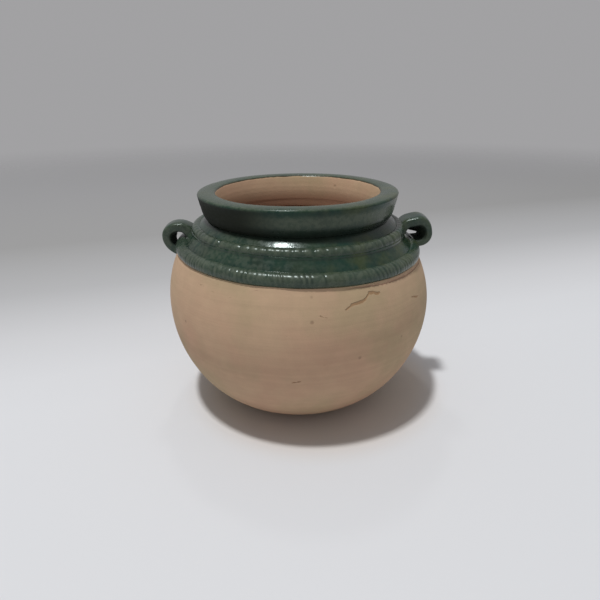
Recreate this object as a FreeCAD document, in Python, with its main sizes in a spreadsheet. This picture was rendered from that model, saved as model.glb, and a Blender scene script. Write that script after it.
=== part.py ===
import FreeCAD, Part
import math
import os
import re

import Sketcher

# A round clay flower pot with a glazed collar, two notched cordons and two loop handles.
# Millimetres, +Z up, origin on the ground at the middle of the flat base.

FULL_TURN = 360
HALF_TURN = 180

# Driving dimensions in millimetres; leans, slants and turns are in degrees.
# Radius shares are of the belly's radius, and the haunch's height share is of the widest height.
# The shoulder's round is a share of the straight way from neck to seam.
DIMENSIONS = {
    "belly_radius": 110.0,
    "widest_height": 90.0,
    "haunch_radius_share": 0.8641,
    "haunch_height_share": 0.4,
    "base_radius_share": 0.4818,
    "wall": 8.0,
    "floor_thickness": 10.0,
    "foot_round": 5.0,
    "drain_radius": 7.0,
    "seam_rise": 45.5,
    "seam_radius_share": 0.8863,
    "shoulder_height": 24.0,
    "shoulder_round_share": 2.9,
    "shoulder_wall": 6.5,
    "neck_radius_share": 0.682,
    "neck_wall": 11.6,
    "rim_height": 21.5,
    "rim_overhang": 6.5,
    "rim_taper": 2.3,
    "rim_face": 11.6,
    "rim_underside_round": 18.0,
    "lip_round": 2.0,
    "lip_crown": 0.4,
    "mouth_flare": 2.4,
    "mouth_round": 2.5,
    "upper_cordon_drop": 5.6,
    "upper_cordon_width": 5.4,
    "upper_cordon_rise": 2.7,
    "upper_notch_depth": 0.9,
    "upper_notch_round": 2.6,
    "upper_notch_slant": 5.0,
    "upper_notch_count": 78,
    "lower_cordon_above": 5.0,
    "lower_cordon_below": 4.2,
    "lower_cordon_rise": 4.2,
    "lower_notch_depth": 0.6,
    "lower_notch_round": 1.3,
    "lower_notch_slant": 14.0,
    "lower_notch_count": 176,
    "left_handle_turn": 2.0,
    "left_handle_twist": 0.0,
    "left_handle_tilt": 0.0,
    "left_handle_rise": 4.6,
    "left_handle_out": 4.6,
    "left_hole_length": 12.4,
    "left_hole_height": 13.2,
    "left_hole_round_share": 0.92,
    "left_strap_thickness": 7.6,
    "left_strap_width": 18.0,
    "right_handle_turn": 3.5,
    "right_handle_twist": -6.0,
    "right_handle_tilt": 12.0,
    "right_handle_rise": 9.8,
    "right_handle_out": 8.7,
    "right_hole_length": 16.0,
    "right_hole_height": 11.4,
    "right_hole_round_share": 0.8,
    "right_strap_thickness": 6.0,
    "right_strap_width": 23.0,
    "strap_edge": 2.0,
    "overrun": 3.0,
}


def arc_round(rise, across, along):
    """Formula for the radius of an arc that rises so far above a chord."""
    return f"(({across})^2 + ({along})^2) / 8 / {rise} + {rise} / 2"


def on_shoulder(height):
    """Formula for the radius of the shoulder's outside at a height."""
    return f"shoulder_centre_radius + sqrt(shoulder_round^2 - ({height} - shoulder_centre_height)^2)"


def on_belly(height):
    """Formula for the radius of the belly's outside above its widest ring."""
    return f"belly_radius - upper_round + sqrt(upper_round^2 - ({height} - widest_height)^2)"


def upright_round(across, along):
    """Formula for the radius of an arc that starts upright and ends so far across and along."""
    return f"(({across})^2 + ({along})^2) / 2 / ({across})"


# Belly: two arcs below the widest ring, one above it, and a wall of even thickness
DERIVED = {
    "seam_height": "widest_height + seam_rise",
    "seam_radius": "belly_radius * seam_radius_share",
    "upper_round": upright_round("belly_radius - seam_radius", "seam_rise"),
    "haunch_radius": "belly_radius * haunch_radius_share",
    "haunch_height": "widest_height * haunch_height_share",
    "lower_round": upright_round("belly_radius - haunch_radius", "widest_height - haunch_height"),
    "base_radius": "belly_radius * base_radius_share",
    "haunch_out_share": "1 - (belly_radius - haunch_radius) / lower_round",
    "haunch_down_share": "(widest_height - haunch_height) / lower_round",
    "bottom_round": "((haunch_radius - base_radius)^2 + haunch_height^2) / 2"
                    " / ((haunch_radius - base_radius) * haunch_out_share"
                    " - haunch_height * haunch_down_share)",
    "bottom_centre_radius": "haunch_radius - bottom_round * haunch_out_share",
    "bottom_centre_height": "haunch_height + bottom_round * haunch_down_share",
    "inner_belly_radius": "belly_radius - wall",
    "inner_upper_round": "upper_round - wall",
    "inner_lower_round": "lower_round - wall",
    "inner_bottom_round": "bottom_round - wall",
    "inner_seam_radius": "belly_radius - upper_round + sqrt(inner_upper_round^2 - seam_rise^2)",
    "inner_haunch_radius": "haunch_radius - wall * haunch_out_share",
    "inner_haunch_height": "haunch_height + wall * haunch_down_share",
    "inner_floor_radius": "bottom_centre_radius"
                          " + sqrt(inner_bottom_round^2 - (bottom_centre_height - floor_thickness)^2)",
}

# Shoulder: one outside arc from the neck to the seam
DERIVED.update({
    "neck_radius": "belly_radius * neck_radius_share",
    "neck_height": "seam_height + shoulder_height",
    "throat_radius": "neck_radius - neck_wall",
    "throat_foot_height": "neck_height - shoulder_wall",
    "shoulder_chord": "sqrt((seam_radius - neck_radius)^2 + shoulder_height^2)",
    "shoulder_round": "shoulder_chord * shoulder_round_share",
    "shoulder_depth": "sqrt(shoulder_round^2 - shoulder_chord^2 / 4)",
    "shoulder_centre_radius": "(neck_radius + seam_radius) / 2"
                              " - shoulder_depth * shoulder_height / shoulder_chord",
    "shoulder_centre_height": "(neck_height + seam_height) / 2"
                              " - shoulder_depth * (seam_radius - neck_radius) / shoulder_chord",
    "inner_shoulder_round": "shoulder_round - shoulder_wall",
})

# Rim: throat, rounded lip, leaning outside face and an underside that runs in to the neck
DERIVED.update({
    "pot_height": "neck_height + rim_height",
    "mouth_radius": "throat_radius + mouth_flare",
    "mouth_edge_height": "pot_height - mouth_round",
    "lip_inner_radius": "mouth_radius + mouth_round",
    "rim_radius": "neck_radius + rim_overhang",
    "lip_outer_radius": "rim_radius - lip_round",
    "lip_side_height": "pot_height - lip_round",
    "lip_shoulder_height": "pot_height - lip_crown",
    "lip_crown_round": arc_round("lip_crown", "lip_outer_radius - lip_inner_radius", "0"),
    "rim_face_radius": "rim_radius - rim_taper",
    "rim_face_height": "pot_height - rim_face",
})


def cordon_sizes(name, top_height, foot_height, foot_radius):
    """Derived sizes of one cordon: its two edges on the pot, and its outside arc."""
    rise = f"{name}_cordon_rise"
    across = f"{name}_foot_radius - {name}_top_radius"
    along = f"{name}_top_height - {name}_foot_height"
    inset = f"({name}_cordon_round - {rise}) / {name}_chord"
    reach = f"({name}_cordon_round + {name}_notch_round - {name}_notch_depth)"
    half_cut = f"({name}_chord / 2 + overrun)"
    slant = f"{name}_notch_slant"
    return {
        f"{name}_top_height": top_height,
        f"{name}_top_radius": on_shoulder(f"{name}_top_height"),
        f"{name}_foot_height": foot_height,
        f"{name}_foot_radius": foot_radius,
        f"{name}_chord": f"sqrt(({across})^2 + ({along})^2)",
        f"{name}_lean_share": f"({across}) / {name}_chord",
        f"{name}_upright_share": f"({along}) / {name}_chord",
        f"{name}_cordon_round": arc_round(rise, across, along),
        f"{name}_core_radius": f"({name}_top_radius + {name}_foot_radius) / 2 - {inset} * ({along})",
        f"{name}_core_height": f"({name}_top_height + {name}_foot_height) / 2 - {inset} * ({across})",
        f"{name}_cut_length": f"2 * {half_cut}",
        f"{name}_cut_x": f"{name}_core_radius + {reach} * {name}_upright_share"
                         f" + {half_cut} * {name}_lean_share * cos({slant})",
        f"{name}_cut_y": f"{half_cut} * sin({slant})",
        f"{name}_cut_z": f"{name}_core_height + {reach} * {name}_lean_share"
                         f" - {half_cut} * {name}_upright_share * cos({slant})",
    }


DERIVED.update(cordon_sizes(
    "upper",
    "neck_height - upper_cordon_drop",
    "upper_top_height - upper_cordon_width",
    on_shoulder("upper_foot_height"),
))
DERIVED.update(cordon_sizes(
    "lower",
    "seam_height + lower_cordon_above",
    "seam_height - lower_cordon_below",
    on_belly("lower_foot_height"),
))


def frame_sizes(name, half_length, half_height, side):
    """Derived sizes of a rounded frame about a loop's middle, for its hole or its outside."""
    sizes = {}
    for axis, half in (("x", half_length), ("z", half_height)):
        middle = f"{side}_middle_{axis}"
        sizes[f"{name}_{axis}_low"] = f"{middle} - ({half})"
        sizes[f"{name}_{axis}_low_bend"] = f"{middle} - ({half}) + {name}_round"
        sizes[f"{name}_{axis}_high_bend"] = f"{middle} + ({half}) - {name}_round"
        sizes[f"{name}_{axis}_high"] = f"{middle} + ({half})"
    return sizes


def handle_sizes(side):
    """Derived sizes of one handle's loop. Its inner part lies in the wall and is cut off."""
    half_length = f"{side}_hole_length / 2"
    half_height = f"{side}_hole_height / 2"
    thickness = f"{side}_strap_thickness"
    tilt = f"{side}_handle_tilt"
    sizes = {
        f"{side}_loop_height": f"seam_height + {side}_handle_rise",
        f"{side}_loop_reach": on_shoulder(f"{side}_loop_height") + f" + {side}_handle_out",
        f"{side}_hole_round": f"{half_height} * {side}_hole_round_share",
        f"{side}_strap_round": f"{side}_hole_round + {thickness}",
        f"{side}_middle_x": f"{half_length} + 2 * {thickness}",
        f"{side}_middle_z": f"{half_height} + 2 * {thickness}",
        f"{side}_offset_x": f"{side}_middle_z * sin({tilt}) - {side}_middle_x * cos({tilt})",
        f"{side}_offset_z": f"0 - {side}_middle_x * sin({tilt}) - {side}_middle_z * cos({tilt})",
    }
    sizes.update(frame_sizes(f"{side}_hole", half_length, half_height, side))
    sizes.update(frame_sizes(
        f"{side}_strap", f"{half_length} + {thickness}", f"{half_height} + {thickness}", side))
    return sizes


for side in ("left", "right"):
    DERIVED.update(handle_sizes(side))

doc = FreeCAD.newDocument("flower_pot")


def fill_sheet(name, cells, mark):
    """A spreadsheet with one named cell for each size."""
    new_sheet = doc.addObject("Spreadsheet::Sheet", name)
    for row, (alias, content) in enumerate(cells.items(), start=1):
        new_sheet.set(f"A{row}", alias)
        new_sheet.set(f"B{row}", mark + str(content))
        new_sheet.setAlias(f"B{row}", alias)
    doc.recompute()
    return new_sheet


def sheet_name(alias):
    """The sheet that holds a size."""
    return "Dimensions" if alias in DIMENSIONS else "Derived"


def value_of(alias):
    """A size as a number; the axis or the ground, written as None, is zero."""
    if alias is None:
        return 0.0
    return float(doc.getObject(sheet_name(alias)).get(alias))


def bind(item, target, alias):
    """Tie a property or a sketch constraint to a size in a sheet."""
    item.setExpression(target, f"{sheet_name(alias)}.{alias}")


def with_sheet_names(formula):
    """A formula whose sizes are all named with the sheet of the driving dimensions."""
    return re.sub(
        "[a-z_]+",
        lambda word: f"Dimensions.{word[0]}" if word[0] in DIMENSIONS else word[0],
        formula,
    )


dimension_sheet = fill_sheet("Dimensions", DIMENSIONS, "")
derived_sheet = fill_sheet("Derived", {key: with_sheet_names(text) for key, text in DERIVED.items()}, "=")


def origin_part(body, role):
    """One of a body's own origin planes or axes."""
    return next(item for item in body.Origin.OriginFeatures if item.Role == role)


def arc_between(start, end, radius, turn):
    """The arc from start to end that turns left for 1 and right for -1, under half a circle."""
    across = end - start
    depth = math.sqrt(max(radius ** 2 - (across.Length / 2) ** 2, 0.0))
    left = FreeCAD.Vector(-across.y, across.x, 0).normalize()
    centre = (start + end) / 2 + left * (turn * depth)
    first, last = (start, end) if turn > 0 else (end, start)
    first_angle = math.atan2(first.y - centre.y, first.x - centre.x)
    last_angle = math.atan2(last.y - centre.y, last.x - centre.x)
    circle = Part.Circle(centre, FreeCAD.Vector(0, 0, 1), radius)
    return Part.ArcOfCircle(circle, first_angle, last_angle)


def draw_outline(body, name, steps):
    """A closed upright sketch. Each step is a corner's two sizes and the bend that leads on
    from it, which is None for a straight run, or a radius and the way that the arc turns."""
    sketch = body.newObject("Sketcher::SketchObject", name)
    sketch.AttachmentSupport = [(origin_part(body, "XZ_Plane"), "")]
    sketch.MapMode = "FlatFace"
    corners = [FreeCAD.Vector(value_of(step[0]), value_of(step[1]), 0) for step in steps]
    begins = []
    ends = []
    for index, (_, _, bend) in enumerate(steps):
        start = corners[index]
        end = corners[(index + 1) % len(corners)]
        if bend is None:
            edge = sketch.addGeometry(Part.LineSegment(start, end), False)
            begins.append((edge, 1))
            ends.append((edge, 2))
            continue
        radius, turn = bend
        edge = sketch.addGeometry(arc_between(start, end, value_of(radius), turn), False)
        begins.append((edge, 1 if turn > 0 else 2))
        ends.append((edge, 2 if turn > 0 else 1))
    for index, end in enumerate(ends):
        follower = begins[(index + 1) % len(begins)]
        sketch.addConstraint(Sketcher.Constraint("Coincident", *end, *follower))
    for begin, (across, up, _) in zip(begins, steps):
        for kind, axis, alias in (("DistanceX", -2, across), ("DistanceY", -1, up)):
            if alias is None:
                sketch.addConstraint(Sketcher.Constraint("PointOnObject", *begin, axis))
                continue
            place = Sketcher.Constraint(kind, -1, 1, *begin, value_of(alias))
            bind(sketch, f"Constraints[{sketch.addConstraint(place)}]", alias)
    for begin, (_, _, bend) in zip(begins, steps):
        if bend is not None:
            size = Sketcher.Constraint("Radius", begin[0], value_of(bend[0]))
            bind(sketch, f"Constraints[{sketch.addConstraint(size)}]", bend[0])
    doc.recompute()
    return sketch


def turned_body(name, steps):
    """A body turned whole from one outline about the sketch's upright axis."""
    body = doc.addObject("PartDesign::Body", name)
    sketch = draw_outline(body, f"{name}_outline", steps)
    turning = body.newObject("PartDesign::Revolution", f"{name}_turning")
    turning.Profile = sketch
    turning.ReferenceAxis = (sketch, ["V_Axis"])
    turning.Angle = FULL_TURN
    sketch.Visibility = False
    doc.recompute()
    return body


def full_circle_edge(shape, radius, height):
    """The name of the edge that runs round the pot at a radius and height."""
    found = [
        f"Edge{index}" for index, edge in enumerate(shape.Edges, start=1)
        if isinstance(edge.Curve, Part.Circle)
        and math.isclose(edge.Curve.Radius, radius, rel_tol=1e-6)
        and math.isclose(edge.Curve.Center.z, height, rel_tol=1e-6, abs_tol=1e-6)
    ]
    if len(found) != 1:
        raise RuntimeError(f"{len(found)} edges at radius {radius} and height {height}")
    return found[0]


# Outlines, from the ground up; a corner on the ground has None for its height
BELLY_OUTSIDE = [
    ("base_radius", None, ("bottom_round", 1)),
    ("haunch_radius", "haunch_height", ("lower_round", 1)),
    ("belly_radius", "widest_height", ("upper_round", 1)),
]
BELLY_INSIDE = [
    ("inner_seam_radius", "seam_height", ("inner_upper_round", -1)),
    ("inner_belly_radius", "widest_height", ("inner_lower_round", -1)),
    ("inner_haunch_radius", "inner_haunch_height", ("inner_bottom_round", -1)),
    ("inner_floor_radius", "floor_thickness", None),
]


def make_belly():
    """The thrown lower body with its flat base and drain hole."""
    outline = (
        [("drain_radius", None, None)]
        + BELLY_OUTSIDE
        + [("seam_radius", "seam_height", None)]
        + BELLY_INSIDE
        + [("drain_radius", "floor_thickness", None)]
    )
    body = turned_body("belly", outline)
    base = body.Tip
    rounding = body.newObject("PartDesign::Fillet", "belly_foot_round")
    rounding.Base = (base, [full_circle_edge(base.Shape, value_of("base_radius"), 0.0)])
    bind(rounding, "Radius", "foot_round")
    doc.recompute()
    return body


def make_collar():
    """The shoulder that closes the belly in to the neck."""
    return turned_body("collar", [
        ("inner_seam_radius", "seam_height", None),
        ("seam_radius", "seam_height", ("shoulder_round", 1)),
        ("neck_radius", "neck_height", None),
        ("throat_radius", "neck_height", None),
        ("throat_radius", "throat_foot_height", ("inner_shoulder_round", -1)),
    ])


def make_rim():
    """The heavy rim: throat, rounded lip, leaning face and underside."""
    return turned_body("rim", [
        ("throat_radius", "neck_height", None),
        ("neck_radius", "neck_height", ("rim_underside_round", 1)),
        ("rim_face_radius", "rim_face_height", None),
        ("rim_radius", "lip_side_height", ("lip_round", 1)),
        ("lip_outer_radius", "lip_shoulder_height", ("lip_crown_round", 1)),
        ("lip_inner_radius", "lip_shoulder_height", ("mouth_round", 1)),
        ("mouth_radius", "mouth_edge_height", None),
    ])


def notch_ring(body, name):
    """Cut one notch with a round tool across the cordon's crest, and repeat it all round."""
    before = body.Shape.Volume
    cutter = body.newObject("PartDesign::SubtractiveCylinder", f"{name}_notch")
    bind(cutter, "Radius", f"{name}_notch_round")
    bind(cutter, "Height", f"{name}_cut_length")
    for axis in ("x", "y", "z"):
        bind(cutter, f"Placement.Base.{axis}", f"{name}_cut_{axis}")
    lean_angle = math.degrees(math.asin(value_of(f"{name}_lean_share")))
    lean = FreeCAD.Rotation(FreeCAD.Vector(0, 1, 0), -lean_angle)
    slant = FreeCAD.Rotation(FreeCAD.Vector(1, 0, 0), value_of(f"{name}_notch_slant"))
    cutter.Placement.Rotation = lean * slant
    doc.recompute()
    pattern = body.newObject("PartDesign::PolarPattern", f"{name}_notch_ring")
    pattern.Originals = [cutter]
    pattern.Axis = (origin_part(body, "Z_Axis"), [""])
    pattern.Angle = FULL_TURN
    bind(pattern, "Occurrences", f"{name}_notch_count")
    body.Tip = pattern
    doc.recompute()
    one_notch = before - cutter.Shape.Volume
    all_notches = before - body.Shape.Volume
    print(f"{name} notches: one {one_notch:.3f}, all {all_notches:.1f} mm3")
    if one_notch <= 0 or all_notches < one_notch * value_of(f"{name}_notch_count") / 2:
        raise RuntimeError(f"the {name} notches cut nothing")


UPPER_CREST = ("upper_foot_radius", "upper_foot_height", ("upper_cordon_round", 1))
LOWER_CREST = ("lower_foot_radius", "lower_foot_height", ("lower_cordon_round", 1))


def make_upper_cordon():
    """The strip laid round the shoulder, with coarse tool notches."""
    body = turned_body("upper_cordon", [
        UPPER_CREST,
        ("upper_top_radius", "upper_top_height", ("shoulder_round", -1)),
    ])
    notch_ring(body, "upper")
    return body


def make_lower_cordon():
    """The strip laid over the seam between belly and shoulder, with fine slanted notches."""
    body = turned_body("lower_cordon", [
        LOWER_CREST,
        ("lower_top_radius", "lower_top_height", ("shoulder_round", -1)),
        ("seam_radius", "seam_height", ("upper_round", -1)),
    ])
    notch_ring(body, "lower")
    return body


def make_pot_outside():
    """The whole pot as one filled solid, used to trim the handles to the pot's outside."""
    outline = (
        [(None, None, None)]
        + BELLY_OUTSIDE
        + [
            LOWER_CREST,
            ("lower_top_radius", "lower_top_height", ("shoulder_round", 1)),
            UPPER_CREST,
            ("upper_top_radius", "upper_top_height", ("shoulder_round", 1)),
            ("neck_radius", "neck_height", ("rim_underside_round", 1)),
            ("rim_face_radius", "rim_face_height", None),
            (None, "rim_face_height", None),
        ]
    )
    return turned_body("pot_outside", outline)


def frame_sketch(body, name, side):
    """A rounded frame about a loop's middle, tilted in its own plane."""
    bend = (f"{name}_round", 1)
    sketch = draw_outline(body, f"{name}_outline", [
        (f"{name}_x_low_bend", f"{name}_z_low", None),
        (f"{name}_x_high_bend", f"{name}_z_low", bend),
        (f"{name}_x_high", f"{name}_z_low_bend", None),
        (f"{name}_x_high", f"{name}_z_high_bend", bend),
        (f"{name}_x_high_bend", f"{name}_z_high", None),
        (f"{name}_x_low_bend", f"{name}_z_high", bend),
        (f"{name}_x_low", f"{name}_z_high_bend", None),
        (f"{name}_x_low", f"{name}_z_low_bend", bend),
    ])
    tilt = FreeCAD.Rotation(FreeCAD.Vector(0, 0, 1), value_of(f"{side}_handle_tilt"))
    sketch.AttachmentOffset = FreeCAD.Placement(FreeCAD.Vector(), tilt)
    bind(sketch, "AttachmentOffset.Base.x", f"{side}_offset_x")
    bind(sketch, "AttachmentOffset.Base.y", f"{side}_offset_z")
    doc.recompute()
    return sketch


def make_loop(side):
    """A flat strap bent into a closed loop, with rounded edges."""
    body = doc.addObject("PartDesign::Body", f"{side}_loop")
    strap = body.newObject("PartDesign::Pad", f"{side}_strap_pad")
    strap.Profile = frame_sketch(body, f"{side}_strap", side)
    strap.Midplane = True
    bind(strap, "Length", f"{side}_strap_width")
    doc.recompute()
    hole = body.newObject("PartDesign::Pocket", f"{side}_hole_pocket")
    hole.Profile = frame_sketch(body, f"{side}_hole", side)
    hole.Type = "ThroughAll"
    hole.Midplane = True
    doc.recompute()
    rims = [
        f"Edge{index}" for index, edge in enumerate(hole.Shape.Edges, start=1)
        if edge.BoundBox.YLength < value_of("strap_edge")
    ]
    rounding = body.newObject("PartDesign::Fillet", f"{side}_strap_edges")
    rounding.Base = (hole, rims)
    bind(rounding, "Radius", "strap_edge")
    twist = value_of(f"{side}_handle_twist")
    body.Placement.Rotation = FreeCAD.Rotation(FreeCAD.Vector(0, 0, 1), twist)
    bind(body, "Placement.Base.x", f"{side}_loop_reach")
    bind(body, "Placement.Base.z", f"{side}_loop_height")
    doc.recompute()
    return body


def make_handle(side, pot_outside, side_turn):
    """A loop on the shoulder, cut off where it meets the pot, then turned to its place."""
    handle = doc.addObject("Part::Cut", f"{side}_handle")
    handle.Base = make_loop(side)
    handle.Tool = pot_outside
    handle.Placement.Rotation = FreeCAD.Rotation(FreeCAD.Vector(0, 0, 1), side_turn)
    handle.setExpression("Placement.Rotation.Angle", f"Dimensions.{side}_handle_turn + {side_turn}")
    doc.recompute()
    return handle


def check_document():
    """Stop if any object failed or has no valid shape."""
    doc.recompute()
    for item in doc.Objects:
        if "Invalid" in item.State or "Error" in item.State:
            raise RuntimeError(f"{item.Name} is {item.State}")


def main():
    pot_outside = make_pot_outside()
    nodes = {
        "belly": make_belly(),
        "collar": make_collar(),
        "rim": make_rim(),
        "upper_cordon": make_upper_cordon(),
        "lower_cordon": make_lower_cordon(),
        "left_handle": make_handle("left", pot_outside, HALF_TURN),
        "right_handle": make_handle("right", pot_outside, 0),
    }
    check_document()
    os.makedirs("parts", exist_ok=True)
    for name, item in nodes.items():
        item.Label = name
        shape = item.Shape
        if shape.isNull() or not shape.isValid() or len(shape.Solids) != 1:
            raise RuntimeError(f"{name} has no single valid solid")
        box = shape.BoundBox
        print(
            f"{name}: {shape.Volume:.0f} mm3,"
            f" x {box.XMin:.2f} to {box.XMax:.2f},"
            f" y {box.YMin:.2f} to {box.YMax:.2f},"
            f" z {box.ZMin:.2f} to {box.ZMax:.2f}"
        )
    for name, item in nodes.items():
        item.Shape.exportStep(f"parts/{name}.step")


main()
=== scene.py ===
import math

import bpy
import numpy as np
from mathutils import Euler, Matrix, Vector


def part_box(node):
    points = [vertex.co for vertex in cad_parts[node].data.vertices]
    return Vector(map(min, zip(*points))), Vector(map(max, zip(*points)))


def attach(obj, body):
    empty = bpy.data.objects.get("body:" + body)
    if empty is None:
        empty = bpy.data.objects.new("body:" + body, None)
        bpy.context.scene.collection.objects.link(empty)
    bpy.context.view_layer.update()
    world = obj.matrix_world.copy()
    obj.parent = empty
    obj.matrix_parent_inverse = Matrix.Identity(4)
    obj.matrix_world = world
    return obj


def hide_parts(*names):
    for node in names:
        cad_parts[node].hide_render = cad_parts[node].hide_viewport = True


bl_info = {
    "name": "Clay Flower Pot",
    "version": (1, 0, 0),
    "blender": (4, 5, 0),
    "location": "3D View > Sidebar > Flower Pot",
    "description": "Builds a hand-thrown clay pot with a glazed collar, notched cordons and handles",
    "category": "Add Mesh",
}

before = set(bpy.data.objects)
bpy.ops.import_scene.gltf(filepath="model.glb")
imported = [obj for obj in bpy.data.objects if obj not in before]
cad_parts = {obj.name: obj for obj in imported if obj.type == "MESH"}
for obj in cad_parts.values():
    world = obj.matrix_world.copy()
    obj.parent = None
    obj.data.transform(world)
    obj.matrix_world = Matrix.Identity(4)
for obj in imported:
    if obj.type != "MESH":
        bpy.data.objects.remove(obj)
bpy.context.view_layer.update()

BODY = "root"
MM = 0.001
FULL_TURN = 2 * math.pi

# Counts of faces, and lengths of faces along an outline
TURNED_SEGMENTS = 400
OUTLINE_STEP = 1.9 * MM
GLAZED_STEP = 0.8 * MM
FINE_STEP = 0.7 * MM
STRAP_RINGS = 96
STRAP_SIDES = 48
SHARP_ANGLE = math.radians(38)

# Kinds of settings that a user can change
LENGTH = (bpy.props.FloatProperty, {"min": 0.0, "unit": "LENGTH", "precision": 4})
ANGLE = (bpy.props.FloatProperty, {"subtype": "ANGLE"})
SHARE = (bpy.props.FloatProperty, {"min": 0.0, "max": 1.0, "subtype": "FACTOR"})
SLOPE = (bpy.props.FloatProperty, {"min": -1.0, "max": 1.0, "subtype": "FACTOR"})
PITCHES = (bpy.props.FloatProperty, {"min": 0.0, "subtype": "FACTOR"})
COUNT = (bpy.props.IntProperty, {"min": 3})
COLOUR = (bpy.props.FloatVectorProperty, {"size": 3, "min": 0.0, "max": 1.0, "subtype": "COLOR"})


def settings(kind, rows):
    """Annotations for settings of one kind; each row holds a description and a default."""
    make, limits = kind
    return {
        key: make(name=key.replace("_", " ").title(), description=text, default=default, **limits)
        for key, (text, default) in rows.items()
    }


def paired_settings(pair, rows):
    """Annotations for two like pieces; each row holds a kind, a description and both defaults."""
    made = {}
    for key, (kind, text, *defaults) in rows.items():
        for side, default in zip(pair, defaults):
            made.update(settings(kind, {f"{side}_{key}": (text, default)}))
    return made


def box_top(node):
    """The height of a node's top."""
    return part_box(node)[1].z


def box_foot(node):
    """The height of a node's foot."""
    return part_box(node)[0].z


def box_radius(node):
    """Half of a node's size along Y."""
    low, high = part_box(node)
    return (high.y - low.y) / 2


class FlowerPotSizes(bpy.types.PropertyGroup):
    """Sizes of the turned pieces; their heights and widest radii are read from the frame."""

    __annotations__ = settings(LENGTH, {
        "belly_radius": ("Widest radius of the belly", box_radius("belly")),
        "widest_height": ("Height of the widest ring", 90 * MM),
        "upper_round": ("Outline radius above the widest ring", 89 * MM),
        "lower_round": ("Outline radius below the widest ring", 105 * MM),
        "haunch_height": ("Height where the two lower arcs meet", 36 * MM),
        "base_radius": ("Radius of the flat base", 53 * MM),
        "base_edge": ("Rounding of the edge of the base", 3 * MM),
        "wall": ("Thickness of the wall", 8 * MM),
        "floor_thickness": ("Thickness of the pot's floor", 10 * MM),
        "drain_radius": ("Radius of the drain hole", 7 * MM),
        "drain_edge": ("Rounding of the drain hole's edges", 1.5 * MM),
        "seam_height": ("Top of the belly", box_top("belly")),
        "neck_height": ("Top of the shoulder", box_top("collar")),
        "neck_radius": ("Outside radius of the neck", 75 * MM),
        "neck_wall": ("Thickness of the neck's wall", 11.6 * MM),
        "shoulder_round": ("Outline radius of the shoulder", 95.4 * MM),
        "shoulder_wall": ("Thickness of the shoulder's wall", 6.5 * MM),
        "pot_height": ("Height of the lip", box_top("rim")),
        "rim_radius": ("Outside radius of the rim", box_radius("rim")),
        "rim_face": ("Height of the rim's leaning face", 11.6 * MM),
        "rim_taper": ("How far the face leans in", 2.3 * MM),
        "underside_round": ("Outline radius under the rim", 18 * MM),
        "lip_round": ("Rounding of the lip's outer edge", 1.9 * MM),
        "mouth_round": ("Rounding of the lip's inner edge", 2.5 * MM),
        "mouth_flare": ("How far the throat opens to the mouth", 3.2 * MM),
        "lip_crown": ("Rise of the middle of the lip", 0.4 * MM),
    })


class FlowerPotCordons(bpy.types.PropertyGroup):
    """Sizes of the two notched cordons; pitches are the distance from notch to notch."""

    __annotations__ = paired_settings(("upper", "lower"), {
        "top": (LENGTH, "Height of its top", box_top("upper_cordon"), box_top("lower_cordon")),
        "foot": (LENGTH, "Height of its foot", box_foot("upper_cordon"), box_foot("lower_cordon")),
        "rise": (LENGTH, "How far it stands out", 2.9 * MM, 4.2 * MM),
        "notches": (COUNT, "How many notches it has", 78, 176),
        "depth": (LENGTH, "Depth of its notches", 0.9 * MM, 0.42 * MM),
        "slant": (SHARE, "Slant of its notches, in pitches", 0.12, 0.6),
        "width": (SHARE, "Width of its notches, in pitches", 0.75, 0.9),
        "least": (SHARE, "Depth of its shallowest notch next to the deepest", 0.15, 0.0),
        "wander": (PITCHES, "How far its notches wander, in pitches", 2.2, 3.5),
    })


class FlowerPotHandles(bpy.types.PropertyGroup):
    """Sizes of the two strap handles."""

    __annotations__ = paired_settings(("left", "right"), {
        "turn": (ANGLE, "How far the handle is turned about the pot", math.radians(2), math.radians(3.5)),
        "twist": (ANGLE, "How far its loop is twisted on the spot", 0.0, math.radians(-6)),
        "tilt": (ANGLE, "How far its outer end is raised", 0.0, math.radians(12)),
        "reach": (LENGTH, "Distance from the axis to its middle", 98.9 * MM, 98.8 * MM),
        "height": (LENGTH, "Height of its middle", 140.1 * MM, 145.3 * MM),
        "length": (LENGTH, "Length of its hole", 12.4 * MM, 16.0 * MM),
        "rise": (LENGTH, "Height of its hole", 13.2 * MM, 11.4 * MM),
        "round": (SHARE, "How round its hole is", 0.92, 0.8),
        "thickness": (LENGTH, "Thickness of its strap", 7.5 * MM, 6.0 * MM),
        "width": (LENGTH, "Width of its strap", 17.8 * MM, 22.8 * MM),
        "slant": (SHARE, "How much its hole narrows from front to back", 0.17, 0.56),
        "step": (SLOPE, "How much the floor of its hole rises to the back", -0.13, 0.05),
        "crown": (LENGTH, "Extra thickness over its hole", 1.9 * MM, 1.2 * MM),
    })


class FlowerPotColours(bpy.types.PropertyGroup):
    """Colours of the clay and the glaze, in linear light."""

    __annotations__ = settings(COLOUR, {
        "clay": ("Main tone of the fired clay", (0.50, 0.345, 0.225)),
        "clay_pink": ("Warmer patches of the clay", (0.50, 0.30, 0.205)),
        "clay_olive": ("Greener patches of the clay", (0.40, 0.31, 0.185)),
        # Redder clay that also carries painted shade, darkening the clay deep inside the pot
        "clay_inside": ("Redder clay deep inside the pot", (0.30, 0.14, 0.085)),
        "glaze": ("Main tone of the glaze", (0.010, 0.036, 0.025)),
        # Glaze where it pools, also used as painted shade under the rim, by the neck and on the loops'
        # inner faces
        "glaze_deep": ("Glaze where it pools", (0.014, 0.019, 0.015)),
        "glaze_olive": ("Glaze where it runs thin", (0.045, 0.058, 0.020)),
        # Glaze on crests and edges, also a painted reflection low on the rim's face
        "glaze_worn": ("Glaze on crests and edges", (0.088, 0.105, 0.075)),
        "glaze_edge": ("Brown line where the glaze ends", (0.060, 0.038, 0.020)),
        # A darker tone of the rim's face towards the pot's left
        "glaze_burnt": ("Glaze that the kiln darkened", (0.010, 0.010, 0.006)),
    })


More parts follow.
